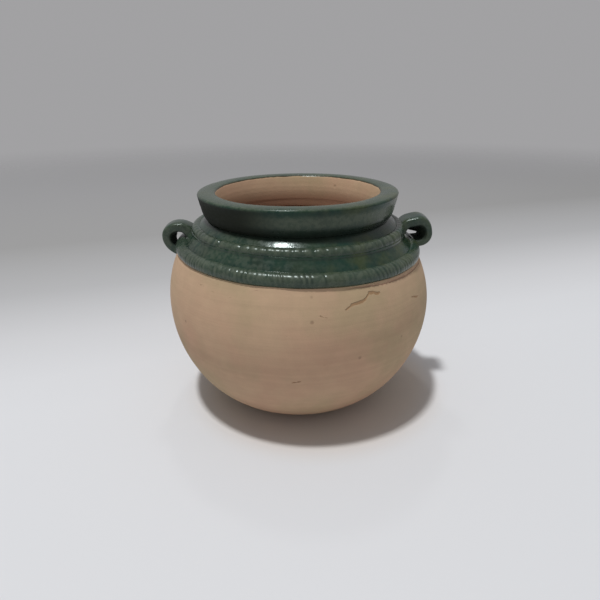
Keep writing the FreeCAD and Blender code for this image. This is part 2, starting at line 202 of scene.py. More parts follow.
# Outlines: a corner is (radius, height); a bend is an arc's radius and 1 for left or -1 for right

def smooth_step(value, low, high):
    """0 below low, 1 above high, and an even curve between them."""
    share = np.clip((value - low) / (high - low), 0.0, 1.0)
    return share * share * (3 - 2 * share)


def past_band(value, level, band):
    """0 before a band that is measured from a level, and 1 past it."""
    return smooth_step(value, level + band[0], level + band[1])


def arc_centre(start, end, radius, turn):
    """The centre of the arc from start to end, under half a circle."""
    start = np.array(start)
    across = np.array(end) - start
    chord = np.hypot(*across)
    depth = math.sqrt(max(radius ** 2 - chord ** 2 / 4, 0.0))
    left = np.array([-across[1], across[0]]) / chord
    return start + across / 2 + left * turn * depth


def rise_round(start, end, rise):
    """The radius of an arc that rises so far above the chord."""
    chord = math.dist(start, end)
    return chord ** 2 / 8 / rise + rise / 2


def walk(start, end, bend, step):
    """Points from start to just before end, along a straight run or an arc."""
    if bend is None:
        count = max(1, round(math.dist(start, end) / step))
        shares = np.arange(count)[:, None] / count
        return np.array(start) + shares * (np.array(end) - np.array(start))
    radius, turn = bend
    centre = arc_centre(start, end, radius, turn)
    first = math.atan2(start[1] - centre[1], start[0] - centre[0])
    last = math.atan2(end[1] - centre[1], end[0] - centre[0])
    sweep = ((last - first) * turn) % FULL_TURN * turn
    count = max(3, round(abs(sweep) * radius / step))
    angles = first + sweep * np.arange(count) / count
    return centre + radius * np.c_[np.cos(angles), np.sin(angles)]


def trace(steps, step):
    """A closed outline's points; each step is a corner and the bend that leads on from it."""
    following = steps[1:] + steps[:1]
    return np.vstack([
        walk(corner, after, bend, step) for (corner, bend), (after, _) in zip(steps, following)])


def belly_radius_at(sizes, height, depth=0.0):
    """Radius of the belly above its haunch, at a depth under its outside."""
    rise = height - sizes.widest_height
    bend = sizes.upper_round if rise > 0 else sizes.lower_round
    return sizes.belly_radius - bend + math.sqrt((bend - depth) ** 2 - rise ** 2)


def shoulder_ends(sizes):
    """The shoulder's outside corners, at the neck and at the seam."""
    seam = (belly_radius_at(sizes, sizes.seam_height), sizes.seam_height)
    return (sizes.neck_radius, sizes.neck_height), seam


def seam_inside(sizes):
    """The inside corner of the seam between belly and shoulder."""
    return (belly_radius_at(sizes, sizes.seam_height, sizes.wall), sizes.seam_height)


def shoulder_centre(sizes):
    """The centre of the shoulder's outside arc."""
    neck, seam = shoulder_ends(sizes)
    return arc_centre(seam, neck, sizes.shoulder_round, 1)


def on_shoulder(sizes, height):
    """The corner on the shoulder's outside at a height."""
    centre = shoulder_centre(sizes)
    return (centre[0] + math.sqrt(sizes.shoulder_round ** 2 - (height - centre[1]) ** 2), height)


def belly_outline(sizes):
    """The belly's closed outline, from the drain hole out, up the outside and down the inside."""
    drop = sizes.widest_height - sizes.haunch_height
    out_share = math.sqrt(sizes.lower_round ** 2 - drop ** 2) / sizes.lower_round
    down_share = drop / sizes.lower_round
    haunch = (belly_radius_at(sizes, sizes.haunch_height), sizes.haunch_height)
    across = haunch[0] - sizes.base_radius
    run_out = across * out_share - haunch[1] * down_share
    bottom_round = (across ** 2 + haunch[1] ** 2) / 2 / run_out
    centre = (haunch[0] - bottom_round * out_share, haunch[1] + bottom_round * down_share)
    inner_bottom = bottom_round - sizes.wall
    floor_depth = centre[1] - sizes.floor_thickness
    floor_corner = (centre[0] + math.sqrt(inner_bottom ** 2 - floor_depth ** 2), sizes.floor_thickness)
    inner_haunch = (haunch[0] - sizes.wall * out_share, haunch[1] + sizes.wall * down_share)
    edge_lift = sizes.base_edge ** 2 / bottom_round + sizes.base_edge ** 2 / centre[1]
    edge_angle = math.atan2(centre[1], sizes.base_radius - centre[0])
    edge_end = (sizes.base_radius + sizes.base_edge * math.sin(edge_angle),
                sizes.base_edge * math.cos(edge_angle) + edge_lift)
    drain = sizes.drain_radius
    soft = sizes.drain_edge
    return [
        ((drain, sizes.floor_thickness - soft), None),
        ((drain, soft), (soft, 1)),
        ((drain + soft, 0.0), None),
        ((sizes.base_radius - sizes.base_edge, 0.0), (4 * sizes.base_edge, 1)),
        (edge_end, (bottom_round, 1)),
        (haunch, (sizes.lower_round, 1)),
        ((sizes.belly_radius, sizes.widest_height), (sizes.upper_round, 1)),
        (shoulder_ends(sizes)[1], None),
        (seam_inside(sizes), (sizes.upper_round - sizes.wall, -1)),
        ((sizes.belly_radius - sizes.wall, sizes.widest_height), (sizes.lower_round - sizes.wall, -1)),
        (inner_haunch, (inner_bottom, -1)),
        (floor_corner, None),
        ((drain + soft, sizes.floor_thickness), (soft, 1)),
    ]


# Hand-made shape: the same gentle unevenness is given to every piece, so that they stay together.
# Waves round the pot are (how many in a turn, their height, where they start); their height is a
# share of the radius for the roundness, and millimetres for the lip
OUT_OF_ROUND = [(2, 0.0022, -0.5), (3, 0.0012, 1.1)]
SHRINK = 0.0026
LIP_WAVES = [(2, 0.20, math.pi), (5, 0.10, math.pi / 2)]
LIP_DROP = 0.30
DENT_DEPTH = 0.30 * MM
DENT_SIZE = 90 * MM
SHAPE_SEED = 7

# The base stays round and flat, and the shoulder leans between the belly's middle and the neck
TRUE_BASE = (8 * MM, 45 * MM)
SHOULDER_LEAN = math.radians(1.6)
LEAN_START = 60 * MM
LEAN_FULL = -8 * MM
LEAN_ENDS = (6 * MM, 4 * MM)
LEAST_RADIUS = 20 * MM


def soft_noise(points, size, seed, waves=14):
    """Smooth noise from about -1 to 1 whose lumps are about the given size."""
    draw = np.random.default_rng(seed)
    directions = draw.normal(size=(waves, 3))
    directions /= np.linalg.norm(directions, axis=1)[:, None]
    rates = FULL_TURN / size * draw.uniform(0.35, 1.0, waves)
    phases = draw.uniform(0.0, FULL_TURN, waves)
    return np.sin(points @ (directions * rates[:, None]).T + phases).sum(axis=1) / math.sqrt(waves)


def waves_round(angle, waves):
    """The sum of some waves round the pot."""
    return sum(height * np.cos(count * angle + start) for count, height, start in waves)


def hand_shape(points):
    """Move points as the potter's hand did: out of round, dented, with a leaning shoulder."""
    sizes = bpy.context.scene.pot_sizes
    moved = points.copy()
    angle = np.arctan2(points[:, 1], points[:, 0])
    height = points[:, 2]
    above_base = smooth_step(height, *TRUE_BASE)
    oval = waves_round(angle, OUT_OF_ROUND)
    dents = DENT_DEPTH * soft_noise(points, DENT_SIZE, SHAPE_SEED)
    radius = np.hypot(points[:, 0], points[:, 1])
    growth = 1 + above_base * (oval - SHRINK) + above_base * dents / np.maximum(radius, LEAST_RADIUS)
    moved[:, 0] *= growth
    moved[:, 1] *= growth
    lean = smooth_step(height, LEAN_START, sizes.seam_height + LEAN_FULL)
    lean *= 1 - smooth_step(height, sizes.seam_height + LEAN_ENDS[0], sizes.neck_height + LEAN_ENDS[1])
    moved[:, 2] -= points[:, 0] * math.tan(SHOULDER_LEAN) * lean
    at_rim = smooth_step(height, sizes.neck_height, sizes.pot_height)
    moved[:, 2] += MM * (waves_round(angle, LIP_WAVES) - LIP_DROP) * at_rim
    return moved


def throwing_rings(height, angle, pitch, seed):
    """The potter's finger rings: a slow spiral whose spacing and depth wander, from -1 to 1."""
    draw = np.random.default_rng(seed)
    spiral = height - pitch * angle / FULL_TURN
    rings = np.zeros_like(height)
    for _ in range(5):
        rate = FULL_TURN / (pitch * draw.uniform(0.6, 2.6))
        rings += draw.uniform(0.4, 1.0) * np.sin(spiral * rate + draw.uniform(0, FULL_TURN))
    return rings / 2.5


def outline_normals(outline):
    """Outward normals of a closed outline that runs counter-clockwise."""
    along = np.roll(outline, -1, axis=0) - np.roll(outline, 1, axis=0)
    along /= np.maximum(np.hypot(along[:, 0], along[:, 1]), 1e-12)[:, None]
    return np.c_[along[:, 1], -along[:, 0]]


def spun(outline, segments):
    """An outline's radii and heights with their angles, for every segment of a turn."""
    radius, height = np.tile(outline, (segments, 1)).T
    return radius, height, np.repeat(np.arange(segments) * FULL_TURN / segments, len(outline))


def ring_faces(rings, sides):
    """Quads of a closed grid of rings by sides."""
    ring, side = np.meshgrid(np.arange(rings), np.arange(sides), indexing="ij")
    ahead = (ring + 1) % rings
    beside = (side + 1) % sides
    corners = [ring * sides + side, ahead * sides + side, ahead * sides + beside, ring * sides + beside]
    return np.stack(corners, axis=-1).reshape(-1, 4)


def signed_volume(points, faces):
    """Positive where the faces point outwards."""
    first, second, third, fourth = (points[faces[:, index]] for index in range(4))
    halves = np.einsum("ij,ij->i", first, np.cross(second, third))
    return (halves + np.einsum("ij,ij->i", first, np.cross(third, fourth))).sum() / 6


def add_object(name, data):
    """A new object in the scene."""
    made = bpy.data.objects.new(name, data)
    bpy.context.scene.collection.objects.link(made)
    return made


def store_values(mesh, attributes):
    """Store numbers at a mesh's points, by name."""
    for key, values in attributes.items():
        attribute = mesh.attributes.new(key, "FLOAT", "POINT")
        attribute.data.foreach_set("value", np.asarray(values, np.float32))


def vertex_places(mesh):
    """The places of a mesh's points, a row for each."""
    places = np.empty(len(mesh.vertices) * 3)
    mesh.vertices.foreach_get("co", places)
    return places.reshape(-1, 3)


def mesh_object(name, points, faces, attributes):
    """A new smooth-shaded object with named point attributes."""
    if signed_volume(points, faces) < 0:
        faces = faces[:, ::-1]
    mesh = bpy.data.meshes.new(name)
    mesh.vertices.add(len(points))
    mesh.vertices.foreach_set("co", points.ravel())
    mesh.loops.add(faces.size)
    mesh.loops.foreach_set("vertex_index", faces.ravel())
    mesh.polygons.add(len(faces))
    mesh.polygons.foreach_set("loop_start", np.arange(0, faces.size, 4))
    store_values(mesh, attributes)
    mesh.update(calc_edges=True)
    mesh.validate()
    mesh.shade_smooth()
    mesh.set_sharp_from_angle(angle=SHARP_ANGLE)
    return add_object(name, mesh)


def settle(piece, node, material):
    """Give a piece its material and body, and hide the node that it stands for."""
    piece.data.materials.clear()
    piece.data.materials.append(material)
    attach(piece, BODY)
    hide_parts(node)


# Node trees

def feed(tree, sockets, values):
    """Fill input sockets in turn, each from another socket or with a plain value."""
    for socket, value in zip(sockets, values):
        if isinstance(value, bpy.types.NodeSocket):
            tree.links.new(value, socket)
        else:
            socket.default_value = value


def fill(tree, node, **values):
    """Fill a node's values by name; a name with a capital letter is an input."""
    for key, value in values.items():
        if key[0].isupper():
            feed(tree, [node.inputs[key.replace("_", " ")]], [value])
        else:
            setattr(node, key, value)
    return node


def add_node(tree, kind, **values):
    """A new node of a tree, filled by name."""
    return fill(tree, tree.nodes.new(kind), **values)


def calculate(tree, operation, *values, clamp=False):
    """A Math node's result."""
    made = add_node(tree, "ShaderNodeMath", operation=operation, use_clamp=clamp)
    feed(tree, made.inputs, values)
    return made.outputs[0]


def times(tree, first, second):
    """The product of two numbers."""
    return calculate(tree, "MULTIPLY", first, second)


def vector_step(tree, operation, *vectors):
    """A Vector Math node's result: a number for a length or a dot product, else a vector."""
    made = add_node(tree, "ShaderNodeVectorMath", operation=operation)
    feed(tree, made.inputs, vectors)
    return made.outputs["Value" if operation in ("LENGTH", "DOT_PRODUCT") else "Vector"]


def scaled_vector(tree, vector, scale):
    """A vector times a number."""
    made = add_node(tree, "ShaderNodeVectorMath", operation="SCALE", Scale=scale)
    feed(tree, made.inputs, [vector])
    return made.outputs[0]


def separate(tree, vector):
    """A vector's numbers by axis."""
    return add_node(tree, "ShaderNodeSeparateXYZ", Vector=vector).outputs


def stretch(tree, value, low, high, to_low=0.0, to_high=1.0):
    """A value carried from one range to another along an even curve."""
    made = add_node(tree, "ShaderNodeMapRange", interpolation_type="SMOOTHSTEP")
    feed(tree, made.inputs, (value, low, high, to_low, to_high))
    return made.outputs[0]


def noise(tree, vector, scale, detail, roughness=0.5):
    """A Noise texture's value."""
    return add_node(
        tree, "ShaderNodeTexNoise", Vector=vector, Scale=scale, Detail=detail, Roughness=roughness,
    ).outputs[0]


def mix_colour(tree, share, first, second):
    """A colour mixed from two, each a socket or a colour of three numbers."""
    made = add_node(tree, "ShaderNodeMix", data_type="RGBA", Factor=share)
    colours = [
        value if isinstance(value, bpy.types.NodeSocket) else (*value, 1.0) for value in (first, second)]
    feed(tree, made.inputs[6:8], colours)
    return made.outputs[2]


def add_inputs(tree, defaults):
    """Named inputs of a tree, of the same kind as their defaults; gives their identifiers."""
    kinds = {float: "NodeSocketFloat", int: "NodeSocketInt", tuple: "NodeSocketVector"}
    names = {}
    for key, default in defaults.items():
        socket = tree.interface.new_socket(name=key, in_out="INPUT", socket_type=kinds[type(default)])
        socket.default_value = default
        names[key] = socket.identifier
    return names


def new_group(name, inputs, outputs):
    """A shader node group that works on a vector; gives its tree, what goes in and what comes out."""
    tree = bpy.data.node_groups.new(name, "ShaderNodeTree")
    add_inputs(tree, {"Vector": (0.0, 0.0, 0.0), **inputs})
    for key in outputs:
        tree.interface.new_socket(name=key, in_out="OUTPUT", socket_type="NodeSocketFloat")
    given = tree.nodes.new("NodeGroupInput")
    result = tree.nodes.new("NodeGroupOutput")
    return tree, given.outputs, result.inputs


def patches_group():
    """Large soft patches where the kiln or the glaze coloured the surface unevenly."""
    inputs = {"Size": 0.05, "Shift": (0.0, 0.0, 0.0), "Threshold": 0.5, "Softness": 0.15}
    tree, given, result = new_group("Kiln Patches", inputs, ["Mask"])
    shifted = vector_step(tree, "ADD", given["Vector"], given["Shift"])
    scale = calculate(tree, "DIVIDE", 1.0, given["Size"])
    value = noise(tree, shifted, scale, 5.0, 0.55)
    low = calculate(tree, "SUBTRACT", given["Threshold"], given["Softness"])
    high = calculate(tree, "ADD", given["Threshold"], given["Softness"])
    feed(tree, result, [stretch(tree, value, low, high)])
    return tree


def grain_group():
    """Fine grain of clay or glaze, with pits: a height and a mask of the pits."""
    inputs = {"Size": 0.001, "Pit Size": 0.004, "Pit Share": 0.2}
    tree, given, result = new_group("Fine Grain", inputs, ["Height", "Pits"])
    grain = noise(tree, given["Vector"], calculate(tree, "DIVIDE", 1.0, given["Size"]), 6.0, 0.65)
    pit_scale = calculate(tree, "DIVIDE", 1.0, given["Pit Size"])
    cells = add_node(tree, "ShaderNodeTexVoronoi", Vector=given["Vector"], Scale=pit_scale)
    chance = add_node(tree, "ShaderNodeSeparateColor", Color=cells.outputs["Color"])
    chosen = calculate(tree, "LESS_THAN", chance.outputs[0], given["Pit Share"])
    pits = times(tree, chosen, stretch(tree, cells.outputs["Distance"], 0.22, 0.08))
    feed(tree, result, [calculate(tree, "SUBTRACT", grain, pits), pits])
    return tree


def turning_group():
    """Lines left by turning: fine level streaks that wander and break up round the pot."""
    inputs = {"Pitch": 0.003, "Length": 0.17, "Wander": 0.001}
    tree, given, result = new_group("Turning Lines", inputs, ["Height"])
    wander = times(tree, noise(tree, given["Vector"], 18.0, 2.0), given["Wander"])
    place = separate(tree, given["Vector"])
    level = calculate(tree, "ADD", place["Z"], wander)
    flat = add_node(
        tree, "ShaderNodeCombineXYZ",
        X=calculate(tree, "DIVIDE", place["X"], given["Length"]),
        Y=calculate(tree, "DIVIDE", place["Y"], given["Length"]),
        Z=calculate(tree, "DIVIDE", level, given["Pitch"]))
    feed(tree, result, [noise(tree, flat.outputs[0], 1.0, 4.0, 0.6)])
    return tree


def scratch_group():
    """A thin ragged mark from one point to another on the surface."""
    inputs = {"Start": (0.0, 0.0, 0.0), "End": (0.0, 0.0, 0.1), "Width": 0.001}
    tree, given, result = new_group("Scratch", inputs, ["Mask"])
    ragged = calculate(tree, "SUBTRACT", noise(tree, given["Vector"], 260.0, 4.0, 0.7), 0.5)
    place = vector_step(tree, "ADD", given["Vector"], times(tree, ragged, 3 * MM))
    from_start = vector_step(tree, "SUBTRACT", place, given["Start"])
    whole = vector_step(tree, "SUBTRACT", given["End"], given["Start"])
    along = vector_step(tree, "DOT_PRODUCT", from_start, whole)
    length = vector_step(tree, "DOT_PRODUCT", whole, whole)
    nearest = scaled_vector(tree, whole, calculate(tree, "DIVIDE", along, length, clamp=True))
    gap = vector_step(tree, "LENGTH", vector_step(tree, "SUBTRACT", from_start, nearest))
    core = times(tree, given["Width"], 0.5)
    feed(tree, result, [stretch(tree, gap, given["Width"], core)])
    return tree


def glaze_line_group():
    """Where the glaze ends: a mask of the glaze, and of the brown line along its edge."""
    inputs = {"Distance": 1.0, "Ragged": 0.001, "Line Width": 0.0012}
    tree, given, result = new_group("Glaze Line", inputs, ["Glazed", "Line"])
    wander = calculate(tree, "SUBTRACT", noise(tree, given["Vector"], 70.0, 4.0, 0.6), 0.5)
    gap = calculate(tree, "MULTIPLY_ADD", wander, given["Ragged"], given["Distance"])
    inner = calculate(tree, "DIVIDE", calculate(tree, "ABSOLUTE", gap), given["Line Width"])
    feed(tree, result, [stretch(tree, gap, -0.15 * MM, 0.25 * MM), stretch(tree, inner, 1.0, 0.15)])
    return tree


GROUP_MAKERS = {
    "patches": patches_group,
    "grain": grain_group,
    "turning": turning_group,
    "scratch": scratch_group,
    "glaze_line": glaze_line_group,
}
GROUPS = {}
MATERIALS = {}


def use_group(tree, key, vector, **values):
    """Place a shared group in a material; values fill its inputs by name."""
    made = add_node(tree, "ShaderNodeGroup", node_tree=GROUPS[key], Vector=vector, **values)
    return made.outputs


def patches(tree, place, **values):
    """A mask of soft patches."""
    return use_group(tree, "patches", place, **values)["Mask"]


def new_material(name):
    """An empty material; gives it with its tree, shader and Object coordinates."""
    material = bpy.data.materials.new(name)
    material.use_nodes = True
    tree = material.node_tree
    shader = tree.nodes["Principled BSDF"]
    place = add_node(tree, "ShaderNodeTexCoord").outputs["Object"]
    return material, tree, shader, place


def point_value(tree, name):
    """A piece's own point attribute."""
    return add_node(tree, "ShaderNodeAttribute", attribute_name=name).outputs["Fac"]


def bump(tree, height, distance, strength, normal=None):
    """A Bump node's normal, laid over another one if that is given."""
    made = add_node(tree, "ShaderNodeBump", Strength=strength, Distance=distance, Height=height)
    if normal is not None:
        tree.links.new(normal, made.inputs["Normal"])
    return made.outputs[0]


# How far each tone covers what lies under it, from 0 to 1
COVER = {
    "pink patches": 0.6,
    "olive patches": 0.75,
    "belly inside": 0.85,
    "neck inside": 0.75,
    "scars": 0.8,
    "crease": 0.6,
    "specks": 0.35,
    "deep patches": 0.55,
    "pooled glaze and shade": 0.8,
    "burnt glaze": 0.9,
    "glaze edge": 0.8,
}
SCAR_COLOUR = (0.30, 0.17, 0.085)
CREASE_COLOUR = (0.36, 0.19, 0.13)
SPECK_COLOUR = (0.20, 0.12, 0.07)
DRAG_MARKS = 0.45
CLAY_MIRROR = 0.3
CLAY_ROUGHNESS = (0.80, 0.93)
BARE_NECK_ROUGHNESS = 0.88
GLAZE_ROUGHNESS = (0.15, 0.26)
GLAZE_MIRRORS = {"glaze": 0.36, "rim_glaze": 0.22}
GLAZE_TINT = (0.88, 1.0, 0.97, 1.0)

# The glaze grows darker towards the pot's left and more olive towards its right: places along X where
# each side's tone fades in
DARK_LEFT_SIDE = (-0.005, -0.045)
OLIVE_SIDE = (0.0, 0.05)


def covered(tree, colour, tone, mask, part):
    """A colour covered by a tone where a mask is, as far as COVER says."""
    return mix_colour(tree, times(tree, mask, COVER[part]), colour, tone)


def clay_colour(tree, place, colours):
    """Buff clay: even tone, pink and olive patches and grain; gives the colour and the grain."""
    pink = patches(tree, place, Size=0.075, Shift=(0.3, 0.1, 0.2), Threshold=0.55)
    olive = patches(tree, place, Size=0.055, Shift=(1.7, 0.4, 0.9), Threshold=0.57)
    pale = patches(tree, place, Size=0.012, Shift=(4.0, 2.0, 1.0), Threshold=0.52)
    grain = use_group(tree, "grain", place, Size=0.0011, Pit_Size=0.0085, Pit_Share=0.06)
    colour = covered(tree, colours.clay, colours.clay_pink, pink, "pink patches")
    colour = covered(tree, colour, colours.clay_olive, olive, "olive patches")
    light = calculate(tree, "MULTIPLY_ADD", pale, 0.05, 0.91)
    light = calculate(tree, "MULTIPLY_ADD", grain["Height"], 0.12, light)
    return scaled_vector(tree, colour, light), grain


def clay_material(colours):
    """The bare belly: matt buff clay with turning lines, specks, a crack and small scars."""
    material, tree, shader, place = new_material("buff_clay_bare")
    colour, grain = clay_colour(tree, place, colours)
    # Redder clay and painted shade on the belly's inside
    colour = covered(tree, colour, colours.clay_inside, point_value(tree, "inside"), "belly inside")
    turning = use_group(tree, "turning", place, Pitch=0.0022, Wander=0.004)["Height"]
    colour = scaled_vector(tree, colour, stretch(tree, turning, 0.35, 0.65, 0.975, 1.02))
    drag = use_group(tree, "turning", place, Pitch=0.0011, Length=0.0065, Wander=0.002)["Height"]
    dragged = patches(tree, place, Size=0.06, Shift=(2.0, 1.0, 3.4), Threshold=0.5)
    scars = times(tree, times(tree, stretch(tree, drag, 0.66, 0.76), dragged), DRAG_MARKS)
    for start, end, width in MARK_PLACES:
        mark = use_group(tree, "scratch", place, Start=surface_place(*start),
                         End=surface_place(*end), Width=width * MM)
        scars = calculate(tree, "MAXIMUM", scars, mark["Mask"])
    colour = covered(tree, colour, SCAR_COLOUR, scars, "scars")
    under = use_group(tree, "glaze_line", place, Distance=point_value(tree, "below_cordon"),
                      Ragged=0.004, Line_Width=0.0009)
    crease = times(tree, under["Line"], point_value(tree, "crease"))
    colour = covered(tree, colour, CREASE_COLOUR, crease, "crease")
    colour = covered(tree, colour, SPECK_COLOUR, grain["Pits"], "specks")
    rough = stretch(tree, grain["Height"], 0.3, 0.7, *CLAY_ROUGHNESS)
    cut = times(tree, calculate(tree, "MAXIMUM", scars, crease), -1.0)
    normal = bump(tree, turning, 0.30 * MM, 0.35)
    normal = bump(tree, grain["Height"], 0.22 * MM, 0.6, normal)
    normal = bump(tree, cut, 0.7 * MM, 0.8, normal)
    fill(tree, shader, Base_Color=colour, Roughness=rough, Normal=normal)
    shader.inputs["Specular IOR Level"].default_value = CLAY_MIRROR
    return material


def glaze_material(name, colours, mirror):
    """Glossy dark green glaze over clay, thin and olive on crests, bare clay inside the mouth, with
    painted shade where the glaze lies in shade and a painted reflection on the rim's face.
    """
    material, tree, shader, place = new_material(name)
    olive = patches(tree, place, Size=0.016, Shift=(0.6, 2.2, 0.1), Threshold=0.53)
    deep = patches(tree, place, Size=0.022, Shift=(3.1, 0.7, 1.3), Threshold=0.52)
    fine = patches(tree, place, Size=0.0032, Shift=(1.0, 5.0, 2.0), Threshold=0.5)
    grain = use_group(tree, "grain", place, Size=0.0028, Pit_Size=0.0035, Pit_Share=0.05)
    worn, pooled, burnt, dull, inside, glaze_gap = (
        point_value(tree, key) for key in ("worn", "pooled", "burnt", "dull", "inside", "glaze_gap"))
    across = separate(tree, place)["X"]
    left = stretch(tree, across, *DARK_LEFT_SIDE)
    right = stretch(tree, across, *OLIVE_SIDE)
    left_darkened = times(tree, burnt, left)
    colour = covered(tree, colours.glaze, colours.glaze_deep, deep, "deep patches")
    share = times(tree, olive, calculate(tree, "MULTIPLY_ADD", right, 0.55, 0.25))
    colour = mix_colour(tree, share, colour, colours.glaze_olive)
    share = times(tree, fine, calculate(tree, "MULTIPLY_ADD", left, 0.25, 0.15))
    colour = mix_colour(tree, share, colour, colours.glaze_worn)
    share = times(tree, worn, calculate(tree, "MULTIPLY_ADD", fine, 0.4, 0.55))
    # Worn crests and edges, and a painted reflection on the rim's face
    colour = mix_colour(tree, share, colour, colours.glaze_worn)
    # Pooled glaze, and painted shade under the rim, by the neck and on the loops' inner faces
    colour = covered(tree, colour, colours.glaze_deep, pooled, "pooled glaze and shade")
    colour = covered(tree, colour, colours.glaze_burnt, left_darkened, "burnt glaze")
    edge = use_group(tree, "glaze_line", place, Distance=glaze_gap, Ragged=0.0016, Line_Width=0.0014)
    colour = covered(tree, colour, colours.glaze_edge, edge["Line"], "glaze edge")
    clay, clay_grain = clay_colour(tree, place, colours)
    # Painted light and shade: the bare clay is lighter near the top of the throat and darker and redder
    # deeper inside
    clay = scaled_vector(tree, clay, calculate(tree, "MULTIPLY_ADD", inside, -0.08, 1.12))
    clay = covered(tree, clay, colours.clay_inside, inside, "neck inside")
    glazed = edge["Glazed"]
    colour = mix_colour(tree, glazed, clay, colour)
    gloss = stretch(tree, fine, 0.0, 1.0, *GLAZE_ROUGHNESS)
    for mask, added in ((worn, 0.10), (dull, 0.6), (left_darkened, 0.45)):
        gloss = calculate(tree, "MULTIPLY_ADD", mask, added, gloss)
    rough = add_node(tree, "ShaderNodeMix", Factor=glazed)
    feed(tree, rough.inputs[2:4], (BARE_NECK_ROUGHNESS, gloss))
    turning = use_group(tree, "turning", place, Pitch=0.0035, Wander=0.003)["Height"]
    rough_clay = times(tree, clay_grain["Height"], calculate(tree, "SUBTRACT", 1.0, glazed))
    normal = bump(tree, turning, 0.25 * MM, 0.18)
    normal = bump(tree, grain["Height"], 0.25 * MM, 0.35, normal)
    normal = bump(tree, rough_clay, 0.3 * MM, 0.6, normal)
    fill(tree, shader, Base_Color=colour, Roughness=rough.outputs[0], Normal=normal)
    shader.inputs["Specular IOR Level"].default_value = mirror
    shader.inputs["Specular Tint"].default_value = GLAZE_TINT
    return material


# Marks on the belly: start and end, each a turn from the front in degrees and a height, and the width
MARK_PLACES = [
    ((17.8, 116.2), (20.6, 119.0), 1.0),
    ((20.6, 119.0), (24.7, 119.8), 1.7),
    ((24.7, 119.8), (26.4, 121.1), 1.4),
    ((26.4, 121.1), (28.7, 124.6), 1.0),
    ((28.7, 124.6), (32.8, 122.8), 1.6),
    ((7.6, 113.5), (10.2, 112.1), 0.6),
    ((52.0, 111.0), (57.4, 108.3), 0.7),
    ((-2.9, 62.0), (0.1, 63.0), 0.7),
    ((-43.1, 125.8), (-40.9, 125.6), 0.8),
]


def surface_place(degrees, height):
    """A point on the belly's outside at a turn from the front and a height in millimetres."""
    level = height * MM
    radius = belly_radius_at(bpy.context.scene.pot_sizes, level)
    turn = math.radians(degrees)
    return (radius * math.sin(turn), -radius * math.cos(turn), level)


def build_materials():
    """Make the shared groups and the materials once."""
    if MATERIALS:
        return
    colours = bpy.context.scene.pot_colours
    GROUPS.update({key: maker() for key, maker in GROUP_MAKERS.items()})
    MATERIALS["clay"] = clay_material(colours)
    for key, name in (("glaze", "green_glaze_coat"), ("rim_glaze", "rim_glaze_coat")):
        MATERIALS[key] = glaze_material(name, colours, GLAZE_MIRRORS[key])


# Throwing rings: their pitch, the seed of their wander, and their depth outside and inside
BELLY_RINGS = (6.5 * MM, 11, 0.035 * MM, 0.18 * MM)
SHOULDER_RINGS = (4.5 * MM, 12, 0.05 * MM, 0.10 * MM)
RIM_RINGS = (5 * MM, 13, 0.10 * MM, 0.06 * MM)

# Parts of an outline by the direction of its normal: towards the axis, and level
INWARD = -0.2
LEVEL = 0.95


def turned_object(name, steps, rings, marks, step):
    """A turned piece whose point attributes are worked out by marks from its outline."""
    pitch, seed, outside_depth, inside_depth = rings
    outline = trace(steps, step)
    normals = outline_normals(outline)
    depths = np.where(normals[:, 0] < INWARD, inside_depth, outside_depth)
    depths = np.where(np.abs(normals[:, 1]) > LEVEL, 0.0, depths)
    radius, height, angle = spun(outline, TURNED_SEGMENTS)
    push = np.tile(depths, TURNED_SEGMENTS) * throwing_rings(height, angle, pitch, seed)
    out, up = np.tile(normals, (TURNED_SEGMENTS, 1)).T
    radius = radius + out * push
    points = np.c_[radius * np.cos(angle), radius * np.sin(angle), height + up * push]
    faces = ring_faces(TURNED_SEGMENTS, len(outline))
    return mesh_object(name, hand_shape(points), faces, {
        key: np.tile(values, TURNED_SEGMENTS) for key, values in marks(outline, normals).items()})


# The belly's inside by the turn of its wall and by height, where its clay is painted redder and darker,
# partly as painted shade
INSIDE_TURN = (-0.1, 0.3)
INSIDE_RISE = (9 * MM, 20 * MM)

# The crease below the lower cordon: how far under its foot, the waves of that, and the turns from
# the front, in degrees, where it fades in and out
CREASE_DROP = 1.6 * MM
CREASE_WAVE = 0.6 * MM
CREASE_WAVE_START = 60
CREASE_STARTS = (14, 28)
CREASE_ENDS = (80, 100)


class POT_OT_belly(bpy.types.Operator):
    """Turn the bare clay belly with its base and drain hole"""

    bl_idname = "pot.belly"
    bl_label = "Belly"

    def execute(self, context):
        build_materials()

        def marks(outline, normals):
            facing_in = smooth_step(-normals[:, 0], *INSIDE_TURN)
            return {"inside": facing_in * smooth_step(outline[:, 1], *INSIDE_RISE)}

        outline = belly_outline(context.scene.pot_sizes)
        piece = turned_object("belly_clay", outline, BELLY_RINGS, marks, OUTLINE_STEP)
        points = vertex_places(piece.data)
        turn = np.degrees(np.arctan2(points[:, 0], -points[:, 1]))
        foot = context.scene.pot_cordons.lower_foot - points[:, 0] * math.tan(SHOULDER_LEAN)
        drop = CREASE_DROP + CREASE_WAVE * np.cos(np.radians(turn - CREASE_WAVE_START) * 3)
        crease = smooth_step(turn, *CREASE_STARTS) * (1 - smooth_step(turn, *CREASE_ENDS))
        store_values(piece.data, {"below_cordon": foot - drop - points[:, 2], "crease": crease})
        settle(piece, "belly", MATERIALS["clay"])
        return {"FINISHED"}


# The step under the upper cordon: heights from the cordon's foot, how far it stands out, and its bend
SKIRT_FOOT = -2.0 * MM
SKIRT_TOP = 0.5 * MM
SKIRT_END = 1.5 * MM
SKIRT_RISE = 1.5 * MM
SKIRT_ROUND = 2.7 * MM

# Glaze: how far from its edge a part counts as covered or bare, and where it pools by the neck, which is
# also painted shade under the rim's overhang
FAR_FROM_EDGE = 10 * MM
NECK_BAND = (0.5 * MM, 5 * MM)
THROAT_EDGE = 0.5 * MM


